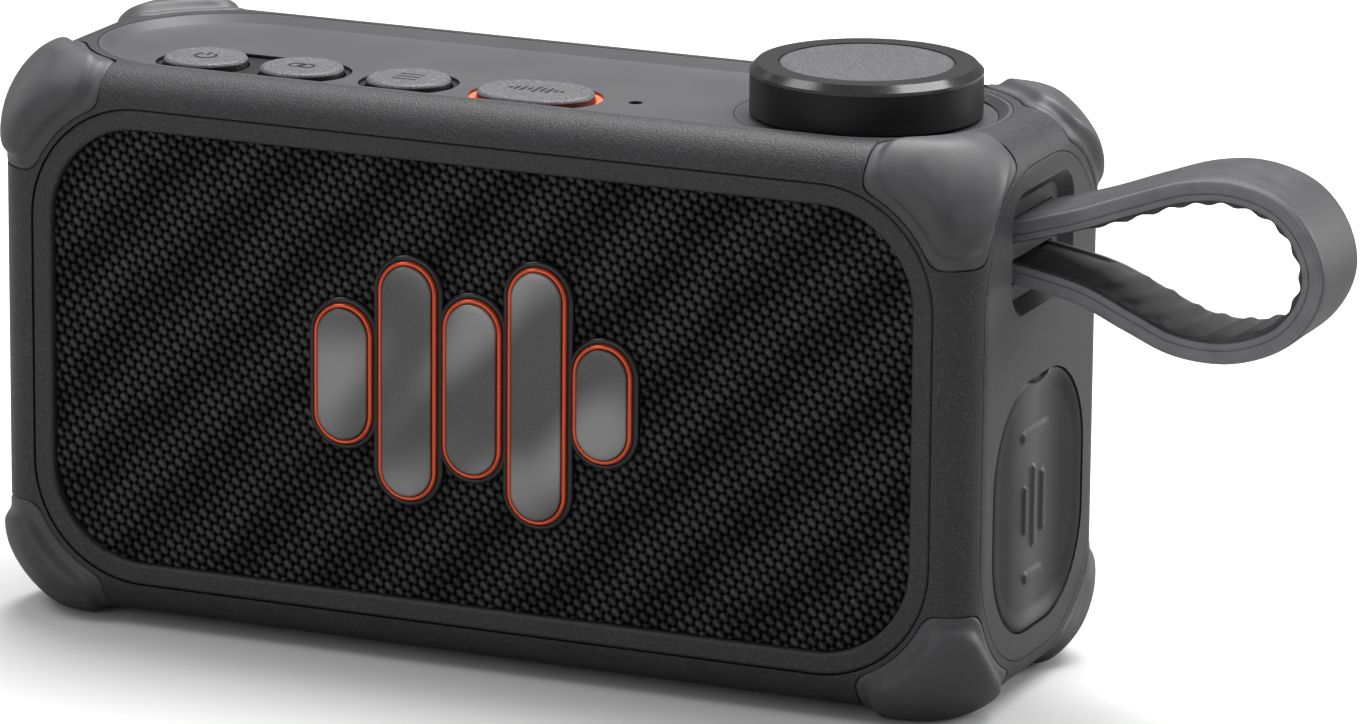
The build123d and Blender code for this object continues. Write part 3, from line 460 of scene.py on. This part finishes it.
def gradient(field, p):
    step = 0.02
    slope = Vector()
    for axis in range(3):
        ahead, behind = p.copy(), p.copy()
        ahead[axis] += step
        behind[axis] -= step
        slope[axis] = (field(ahead) - field(behind)) / (2 * step)
    return slope


def settle(p):
    """Move a point onto the body's surface."""
    for _ in range(4):
        p = p - gradient(body_distance, p) * body_distance(p)
    return p


def pad_height(inside):
    lip = smooth_step(inside, -0.05, 0.45)
    pad = smooth_step(inside, 1.5, 3.5)
    return SKIRT_EDGE_H + (SKIRT_H - SKIRT_EDGE_H) * lip + (PAD_H - SKIRT_H) * pad


def corner_patch(ears):
    """Outer and inner points and the quads of one bumper, in the corner where x, y and z are positive."""

    def lobes(p):
        return lobe_distance(p, ears)

    cells = range(BUMPER_CELLS + 1)
    spots = [(i, j, k) for i in cells for j in cells for k in cells if 0 in (i, j, k)]
    place = {}
    for spot in spots:
        start = Vector([h - s * BUMPER_STEP for h, s in zip(BODY_HALF, spot)])
        place[spot] = settle(start)
    depth = {spot: lobes(p) for spot, p in place.items()}
    quads = []
    for axis in range(3):
        u, v = [other for other in range(3) if other != axis]
        for i in range(BUMPER_CELLS):
            for j in range(BUMPER_CELLS):
                ring = []
                for di, dj in ((0, 0), (1, 0), (1, 1), (0, 1)):
                    spot = [0, 0, 0]
                    spot[u], spot[v] = i + di, j + dj
                    ring.append(tuple(spot))
                if max(depth[s] for s in ring) > TRIM_AT:
                    quads.append(ring if axis != 1 else ring[::-1])
    used = sorted({s for ring in quads for s in ring})
    for spot in used:
        p = place[spot]
        for _ in range(3):
            inside = lobes(p)
            if inside < TRIM_AT:
                slope = gradient(lobes, p)
                p = settle(p - slope * (inside / max(slope.length_squared, 0.2)))
        place[spot] = p
    index = {spot: n for n, spot in enumerate(used)}
    outer, inner = [], []
    for spot in used:
        p = place[spot]
        normal = gradient(body_distance, p).normalized()
        outer.append(p + normal * pad_height(lobes(p)))
        inner.append(p + normal * BUMPER_ROOT)
    return outer, inner, [[index[s] for s in ring] for ring in quads]


def rim_edges(quads):
    """Directed edges that belong to one quad only."""
    edges = {}
    for quad in quads:
        for a, b in zip(quad, quad[1:] + quad[:1]):
            edges[(a, b)] = edges.get((a, b), 0) + 1
    return [(a, b) for a, b in edges if (b, a) not in edges]


for sy, depth_name, ears in ((-1, "front", False), (1, "rear", True)):
    outer, inner, quads = corner_patch(ears)
    count = len(outer)
    walls = [[b, a, a + count, b + count] for a, b in rim_edges(quads)]
    solid_faces = quads + [[n + count for n in reversed(quad)] for quad in quads] + walls
    first = [outer[n] for n in quads[0]]
    outward = outer[0] - UNDER_PATCH
    facing = (first[1] - first[0]).cross(first[3] - first[0]).dot(outward) > 0
    for sx, side_name in ((-1, "left"), (1, "right")):
        for sz, level_name in ((-1, "lower"), (1, "upper")):
            points = [(sx * p.x, sy * p.y, MID_Z + sz * p.z) for p in outer + inner]
            flip = (sx * sy * sz > 0) != facing
            faces = [face[::-1] for face in solid_faces] if flip else solid_faces
            node = f"bumper_{depth_name}_{level_name}_{side_name}"
            rubber_material = [MATERIALS["bumper"]]
            piece = add_piece(f"rubber_{node}", points, faces, rubber_material, "speaker")
            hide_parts(node)

# ---- Grille fabric: slanted rows of floats, with thin cross threads between the rows --------

FLOAT_U, ROW_V = 1.869, 1.927
BAND_V = 14.5
SPREAD = 87.5
U_STEPS = 6
CLOTH_R, CLOTH_LIFT = 17.55, 0.24
ROW_STEPS = (-0.5, -0.40, -0.21, 0.0, 0.21, 0.40)


def woven(u, v):
    """Height in millimetres and brightness of the cloth, along and across its slanted rows: a random level
    per float, darkened from each float's crown down into the gaps as painted shade.
    """
    row = math.floor(v / ROW_V + 0.5)
    across_row = v - row * ROW_V
    shift = 0.5 * FLOAT_U * (row % 2)
    column = math.floor((u - shift) / FLOAT_U + 0.5)
    along_row = u - shift - column * FLOAT_U
    length = 1 - (across_row / 0.97) ** 2
    width = 1 - (along_row / 0.5) ** 2
    if length > 0 and width > 0:
        crown = math.sqrt(length * width)
        own = 0.92 + 0.16 * noise.cell((column * 1.3 + 0.4, row * 1.7 + 0.4, 0.5))
        # painted shade: each float darkens from its crown to its edges; own is a random level per float
        return 0.42 * crown, (0.1 + 0.9 * crown) * own
    beside = 1 - ((abs(along_row) - 0.934) / 0.38) ** 2 - ((across_row - 0.1) / 0.45) ** 2
    if beside > 0:
        return 0.2 * math.sqrt(beside), 0.05 + 0.3 * beside
    if abs(abs(across_row) - 0.96) < 0.1:
        # the thin cross thread shows as a string of beads
        bead = round(u / FLOAT_U * U_STEPS) % 2
        return 0.08 + 0.12 * bead, 0.08 + 0.55 * bead
    # between the threads: the dark of the openings, deepened by painted shade
    return 0.0, 0.0


def fabric_piece():
    low, high = box_mm("grille_fabric")
    half_x, half_z = (high.x - low.x) / 2, (high.z - low.z) / 2
    radius = CLOTH_R
    base_y = low.y + CLOTH_LIFT
    columns = int(2 * SPREAD / FLOAT_U * U_STEPS)
    rows = int(2 * SPREAD / ROW_V)
    us = [(c - columns / 2) * FLOAT_U / U_STEPS for c in range(columns + 1)]
    vs = [(r - rows // 2 + part) * ROW_V for r in range(rows) for part in ROW_STEPS]
    diagonal = math.sqrt(0.5)

    def outside(x, z):
        qx, qz = abs(x) - half_x + radius, abs(z) - half_z + radius
        return math.hypot(max(qx, 0), max(qz, 0)) + min(max(qx, qz), 0) - radius

    def spot(i, j):
        return (us[i] - vs[j]) * diagonal, (us[i] + vs[j]) * diagonal

    inside = [[outside(*spot(i, j)) for i in range(len(us))] for j in range(len(vs))]
    index, points, tones_and_shades, faces = {}, [], [], []

    def vertex(i, j):
        if (i, j) not in index:
            x, z = spot(i, j)
            height, tone_and_shade = woven(us[i], vs[j])
            over = inside[j][i]
            if over > -0.1:
                slope_x = (outside(x + 0.01, z) - over) / 0.01
                slope_z = (outside(x, z + 0.01) - over) / 0.01
                x, z = x - slope_x * over, z - slope_z * over
            waver = 0.9 * noise.noise((x / 16, z / 16, 0.5))
            band = 0.5 + 0.5 * math.cos(2 * math.pi * vs[j] / BAND_V + waver)
            index[(i, j)] = len(points)
            points.append((x, base_y - height * (0.8 + 0.2 * band), MID_Z + z))
            tones_and_shades.append(tone_and_shade * (0.66 + 0.34 * band))
        return index[(i, j)]

    for j in range(len(vs) - 1):
        for i in range(len(us) - 1):
            ring = [(i, j), (i + 1, j), (i + 1, j + 1), (i, j + 1)]
            if min(inside[b][a] for a, b in ring) < -0.05:
                faces.append([vertex(a, b) for a, b in ring])
    piece = add_piece("grille_cloth", points, faces, [fabric_material()], "speaker")
    tone_and_shade = piece.data.attributes.new("tone_and_shade", "FLOAT", "POINT")
    tone_and_shade.data.foreach_set("value", tones_and_shades)
    build = bmesh.new()
    build.from_mesh(piece.data)
    rim = [edge for edge in build.edges if edge.is_boundary]
    made = bmesh.ops.extrude_edge_only(build, edges=rim)["geom"]
    back = [item for item in made if isinstance(item, bmesh.types.BMVert)]
    for item in back:
        item.co.y = (high.y + 0.01) * MM
    hem = [item for item in made if isinstance(item, bmesh.types.BMEdge) and item.is_boundary]
    bmesh.ops.edgeloop_fill(build, edges=hem)
    bmesh.ops.recalc_face_normals(build, faces=build.faces)
    build.to_mesh(piece.data)
    build.free()
    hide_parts("grille_fabric")


def fabric_material():
    s = Shader("woven_cloth")
    tone_and_shade = s.add("ShaderNodeAttribute", attribute_name="tone_and_shade").outputs["Fac"]
    fibre = s.noise(1.0, 2.0, 0.6, vector=s.slanted(6.5, 1.2))
    fleck = s.noise(1.1, 2.0, 0.7)
    light = s.math("MULTIPLY", tone_and_shade, s.ramp(fleck, 0.3, 0.7, 0.75, 1.25))
    light = s.math("MULTIPLY", light, s.ramp(fibre, 0.35, 0.65, 0.55, 1.5))
    # the level per vertex carries painted shade between the threads
    colour = s.mix(light, grey(2, 0.02), grey(64, 0.02))
    return s.finish(base_color=colour, roughness=s.ramp(tone_and_shade, 0.0, 1.0, 0.8, 0.4),
                    normal=s.bump(fibre, 0.05, 0.6), specular_ior_level=s.ramp(tone_and_shade, 0.1, 0.7, 0.0, 0.5))


fabric_piece()

# ---- Badge: rounded outlines, crowned faces and a soft-edged backing --------------------------

BADGE_HALF_W, BADGE_PITCH = 4.8, 12.6
BADGE_HEIGHTS = (24, 42, 31, 45, 20)
BADGE_SLOTS = {"badge_rims": "badge_orange", "badge_bars": "badge_metal", "badge_backing": "badge_black"}
# each section: (growth beyond the bar, depth)
BEAD = [(0.06, -31.62), (0.08, -32.2), (0.2, -32.46), (0.47, -32.58), (0.74, -32.46), (0.86, -32.2),
        (0.88, -31.62)]
FACE = [(0.0, -31.62), (0.0, -32.62), (-0.14, -32.78), (-0.4, -32.84), (-1.6, -32.86)]
BACKING = [(2.0, -30.95), (2.0, -31.55), (1.86, -31.85), (1.6, -32.0), (1.3, -32.03), (1.08, -31.97),
           (1.0, -31.75), (1.0, -31.66)]


def stadium(middle, half_width, reach):
    """An upright stadium outline in X and Z."""
    turns = 18
    loop = []
    for end in (1, -1):
        for n in range(turns + 1):
            angle = math.pi * n / turns
            loop.append((middle + end * half_width * math.cos(angle),
                         MID_Z + end * (reach + half_width * math.sin(angle))))
    return loop


def badge_part(name, node, section, closed):
    """Every bar of the badge, swept from a section of (growth beyond the bar, depth)."""
    points, faces = [], []
    for place, height in enumerate(BADGE_HEIGHTS):
        start = len(points)
        reach = height / 2 - BADGE_HALF_W
        for grow, y in section:
            loop = stadium((place - 2) * BADGE_PITCH, BADGE_HALF_W + grow, reach)
            points += [(x, y, z) for x, z in loop]
        size = len(loop)
        rings = len(section)
        for ring in range(rings if closed else rings - 1):
            a, b = start + ring * size, start + (ring + 1) % rings * size
            faces += [[a + n, a + (n + 1) % size, b + (n + 1) % size, b + n] for n in range(size)]
        if not closed:
            last = start + (rings - 1) * size
            faces += [[start + n for n in reversed(range(size))], [last + n for n in range(size)]]
    slot = BADGE_SLOTS[node]
    piece = add_piece(name, points, faces, [MATERIALS[slot]], "speaker", sharp_angle=70)
    face_outwards(piece)
    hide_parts(node)


badge_part("badge_outlines", "badge_rims", BEAD, True)
badge_part("badge_faces", "badge_bars", FACE, False)
badge_part("badge_soft_backing", "badge_backing", BACKING, False)

# ---- Carry strap ------------------------------------------------------------------------------

STRAP_Z, ROOT_HALF, STRAP_RIM_FROM = 80.2, 3.75, 9.2
STRAP_ROUTE = [
    (88.3, ROOT_HALF), (92.8, ROOT_HALF), (104.5, 7.1), (114.5, 10.8), (124.0, 14.0), (132.5, 14.8),
    (140.5, 12.6), (145.6, 7.6), (147.85, 0.8), (146.0, -5.6), (141.0, -10.8), (132.5, -13.8),
    (123.0, -13.4), (114.5, -10.1), (105.0, -6.1), (92.8, -ROOT_HALF), (88.3, -ROOT_HALF)]
RIDGE_PITCH = 5.4


def strap_line():
    """Points and unit tangents along the strap's centre line, in X and Z."""
    route = [Vector((x, STRAP_Z + z)) for x, z in STRAP_ROUTE]
    ends = [2 * route[0] - route[1]] + route + [2 * route[-1] - route[-2]]
    line = []
    for a, b, c, d in zip(ends, ends[1:], ends[2:], ends[3:]):
        for n in range(10):
            t = n / 10
            line.append(0.5 * (2 * b + (c - a) * t + (2 * a - 5 * b + 4 * c - d) * t * t
                               + (3 * b - a - 3 * c + d) * t * t * t))
    line.append(route[-1])
    tangents = []
    for n in range(len(line)):
        ahead, behind = line[min(n + 1, len(line) - 1)], line[max(n - 1, 0)]
        tangents.append((ahead - behind).normalized())
    return line, tangents


# half of the section, from the middle of the outer face to the middle of the inner one: (across, thickness)
STRAP_EDGE = [(0, 2.02), (4.5, 2.05), (7.6, 2.05), (8.7, 2.0), (9.25, 1.8), (9.55, 1.4), (9.62, 0.8),
              (9.62, 0.0), (9.58, -0.36), (9.34, -0.48), (9.32, -0.60), (9.5, -0.72), (9.5, -1.3),
              (9.4, -1.75), (9.1, -2.0), (8.7, -2.05), (8.45, -1.95)]
STRAP_INNER = [(8.3, -1.5), (7.8, -1.25), (6.0, -1.2), (3.0, -1.2), (0.0, -1.2)]


def strap_piece():
    line, tangents = strap_line()
    travelled, lengths = 0.0, [0.0]
    for a, b in zip(line, line[1:]):
        travelled += (b - a).length
        lengths.append(travelled)
    half = STRAP_EDGE + STRAP_INNER
    loop = [(y, t) for y, t in half] + [(-y, t) for y, t in half[-2:0:-1]]
    inner_from, inner_to = len(STRAP_EDGE), len(loop) - len(STRAP_EDGE)
    points = []
    for spot, tangent, along in zip(line, tangents, lengths):
        normal = Vector((-tangent.y, tangent.x))
        grip = smooth_step(along, 12, 26) * smooth_step(travelled - along, 12, 26)
        for n, (y, t) in enumerate(loop):
            if inner_from <= n <= inner_to + 1:
                ridge = 0.5 - 0.5 * math.cos(2 * math.pi * along / RIDGE_PITCH + 0.16 * y)
                crown = smooth_step(STRAP_RIM_FROM - abs(y), 0.0, 1.2)
                t -= grip * crown * (0.45 + 0.85 * ridge)
            place = spot + normal * t
            points.append((place.x, y, place.y))
    size = len(loop)
    faces, slots = [], []
    for ring in range(len(line) - 1):
        for n in range(size):
            after = (n + 1) % size
            a, b = ring * size, (ring + 1) * size
            faces.append([a + n, a + after, b + after, b + n])
            rim = min(abs(loop[n][0]), abs(loop[after][0])) > STRAP_RIM_FROM
            slots.append(1 if inner_from - 1 <= n <= inner_to else 2 if rim else 0)
    faces += [list(range(size))[::-1], [(len(line) - 1) * size + n for n in range(size)]]
    slots += [0, 0]
    materials = [MATERIALS["strap"], STRAP_GRIP_SHADED, STRAP_RIM]
    piece = add_piece("carry_strap", points, faces, materials, "speaker", slots, 50)
    face_outwards(piece)
    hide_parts("strap")


# the inner grip face: a darker rubber, darkened further with painted shade where the loop shades it
STRAP_GRIP_SHADED = rubber("strap_grip_shaded_rubber", 20, rough=0.62)
STRAP_RIM = rubber("strap_rim_rubber", 126, rough=0.45)
strap_piece()

# ---- Port cover: a dished rubber panel with a finger notch and raised bars --------------------

COVER_HALF_Y, COVER_HALF_Z, COVER_R = 21.7, 22.7, 17.4
COVER_Z = 33.6
COVER_FACE_X, COVER_BACK_X = 94.95, 92.85
COVER_STEP = 0.35
NOTCH_R, NOTCH_RISE = 13.0, 11.8
# (middle across, middle up, reach across, reach up)
RAISED_BARS = ((-4.2, -1.0, 0, 3.4), (0, -1.0, 0, 6.4), (4.2, -1.0, 0, 4.6), (0, 12.4, 5.4, 0),
               (0, -13.6, 3.4, 0))
# the plug behind the panel: (inset from the panel's rim, x)
PLUG_RINGS = ((5.0, 92.9), (5.0, 91.5), (5.3, 91.2), (6.2, 91.2), (6.5, 91.5), (6.5, 92.9))
PLUG_TURNS = 96


def cover_outside(y, z, inset=0.0):
    qy, qz = abs(y) - COVER_HALF_Y + COVER_R, abs(z) - COVER_HALF_Z + COVER_R
    return math.hypot(max(qy, 0), max(qz, 0)) + min(max(qy, qz), 0) - COVER_R + inset


def notch_depth(y, z):
    return NOTCH_R - math.hypot(y, z - COVER_HALF_Z - NOTCH_RISE)


def cover_x(y, z):
    """The cover's outer face: dished across its width, rounded at its rim."""
    inside = -cover_outside(y, z)
    dish = 0.95 * (1 - (y / COVER_HALF_Y) ** 2)
    rim = 0.35 * (1 - smooth_step(inside, 0.0, 0.7))
    notch = 0.9 * smooth_step(notch_depth(y, z), 0.0, 0.4)
    raised = 0.0
    for at_y, at_z, reach_y, reach_z in RAISED_BARS:
        away = math.hypot(max(abs(y - at_y) - reach_y, 0), max(abs(z - at_z) - reach_z, 0))
        raised = max(raised, 1 - smooth_step(away, 0.75, 1.25))
    return COVER_FACE_X - dish * smooth_step(inside, 0.2, 4.0) - rim - notch + 0.5 * raised


def cover_piece():
    cols, rows = int(COVER_HALF_Y / COVER_STEP) + 1, int(COVER_HALF_Z / COVER_STEP) + 1
    index, points, faces = {}, [], []

    def vertex(i, j):
        if (i, j) not in index:
            y, z = i * COVER_STEP, j * COVER_STEP
            over = cover_outside(y, z)
            if over > -0.15:
                slope_y = (cover_outside(y + 0.01, z) - over) / 0.01
                slope_z = (cover_outside(y, z + 0.01) - over) / 0.01
                y, z = y - slope_y * over, z - slope_z * over
            elif abs(notch_depth(y, z)) < 0.2:
                away = Vector((y, z - COVER_HALF_Z - NOTCH_RISE)).normalized() * NOTCH_R
                y, z = away.x, away.y + COVER_HALF_Z + NOTCH_RISE
            index[(i, j)] = len(points)
            points.append((cover_x(y, z), y, COVER_Z + z))
        return index[(i, j)]

    for i in range(-cols, cols):
        for j in range(-rows, rows):
            ring = [(i, j), (i + 1, j), (i + 1, j + 1), (i, j + 1)]
            if min(cover_outside(a * COVER_STEP, b * COVER_STEP) for a, b in ring) < -0.1:
                faces.append([vertex(a, b) for a, b in ring])
    front_count = len(points)
    points += [(COVER_BACK_X, y, z) for _, y, z in points]
    walls = [[b, a, a + front_count, b + front_count] for a, b in rim_edges(faces)]
    faces += [[n + front_count for n in reversed(face)] for face in faces] + walls
    turns = PLUG_TURNS
    start = len(points)
    for inset, x in PLUG_RINGS:
        for n in range(turns):
            angle = 2 * math.pi * n / turns
            direction = Vector((math.cos(angle), math.sin(angle)))
            low, high = 0.0, 40.0
            for _ in range(24):
                middle = (low + high) / 2
                if cover_outside(direction.x * middle, direction.y * middle, inset) > 0:
                    high = middle
                else:
                    low = middle
            points.append((x, direction.x * low, COVER_Z + direction.y * low))
    for ring in range(len(PLUG_RINGS) - 1):
        for n in range(turns):
            after = (n + 1) % turns
            a, b = start + ring * turns, start + (ring + 1) * turns
            faces.append([a + n, a + after, b + after, b + n])
    material = MATERIALS["port_cover"]
    name = "port_cover"
    piece = add_piece(f"rubber_{name}", points, faces, [material], name, sharp_angle=55)
    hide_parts("port_cover")


cover_piece()

# ---- Marks on the buttons ---------------------------------------------------------------------

MARK = satin("button_mark", 8, rough=0.5)
BUTTON_Y, BUTTON_TOP = -11.7, 100.9
MARK_LOW, MARK_HIGH, MARK_BOLD = -0.1, 0.05, 1.25
BUTTONS = {"power_button": -62.4, "pairing_button": -43.2, "menu_button": -22.0, "effect_button": 2.9}


def stroke(path, width):
    """A flat raised line along a path of (x, y): its points and faces."""
    points, faces = [], []
    count = len(path)
    for n, spot in enumerate(path):
        ahead, behind = path[min(n + 1, count - 1)], path[max(n - 1, 0)]
        run = (Vector(ahead) - Vector(behind)).normalized()
        side = Vector((-run.y, run.x)) * width / 2
        for sign, z in ((1, MARK_LOW), (1, MARK_HIGH), (-1, MARK_HIGH), (-1, MARK_LOW)):
            points.append((spot[0] + sign * side.x, spot[1] + sign * side.y, z))
    for n in range(count - 1):
        a, b = 4 * n, 4 * (n + 1)
        for m in range(4):
            faces.append([a + m, a + (m + 1) % 4, b + (m + 1) % 4, b + m][::-1])
    faces += [[0, 1, 2, 3], [4 * count - 1 - m for m in range(4)]]
    return points, faces


def arc(radius, start, end, centre=(0, 0)):
    steps = 20
    angles = [math.radians(start + (end - start) * n / steps) for n in range(steps + 1)]
    return [(centre[0] + radius * math.cos(a), centre[1] + radius * math.sin(a)) for a in angles]


def mark(name, body, strokes):
    points, faces = [], []
    for path, width in strokes:
        more, rings = stroke(path, width * MARK_BOLD)
        faces += [[n + len(points) for n in ring] for ring in rings]
        points += more
    at = BUTTONS[body]
    points = [(at + x, BUTTON_Y + y, BUTTON_TOP + z) for x, y, z in points]
    add_piece(name, points, faces, [MARK], body, sharp_angle=30)


mark("power_mark", "power_button", [(arc(1.9, 125, 415), 0.5), ([(0, 0.4), (0, 2.5)], 0.5)])
mark("pairing_mark", "pairing_button", [(arc(1.35, 0, 360, centre=(-0.95, 0)), 0.45),
                                        (arc(1.35, 0, 360, centre=(0.95, 0)), 0.45)])
mark("menu_mark", "menu_button", [([(-2.3, y), (2.3, y)], 0.36) for y in (-1.9, 0, 1.9)])
LEVELS = (1.0, 2.2, 3.4, 1.8, 4.2, 2.6, 3.6, 1.6, 0.9)
LEVEL_PITCH = 1.25
bars = []
for n, height in enumerate(LEVELS):
    x = LEVEL_PITCH * (n - 4)
    bars.append(([(x, -height / 2 + 0.4), (x, height / 2 + 0.4)], 0.5))
mark("effect_mark", "effect_button", bars)

# ---- Floor ------------------------------------------------------------------------------------

floor_mesh = bpy.data.meshes.new("floor")
floor_build = bmesh.new()
bmesh.ops.create_grid(floor_build, x_segments=2, y_segments=2, size=12)
floor_build.to_mesh(floor_mesh)
floor = bpy.data.objects.new("floor", floor_mesh)
floor.location.z = CAD_BOUNDS[0].z
scene.collection.objects.link(floor)
s = Shader("floor_paper")
# white to the eye, but throwing less light back up at the object
seen = s.add("ShaderNodeLightPath").outputs["Is Camera Ray"]
paper = s.mix(seen, (0.38, 0.38, 0.38, 1), (0.9, 0.9, 0.9, 1))
grain = s.noise(0.6, 3.0)
floor_mesh.materials.append(s.finish(base_color=paper, roughness=0.9, normal=s.bump(grain, 0.05, 0.2)))
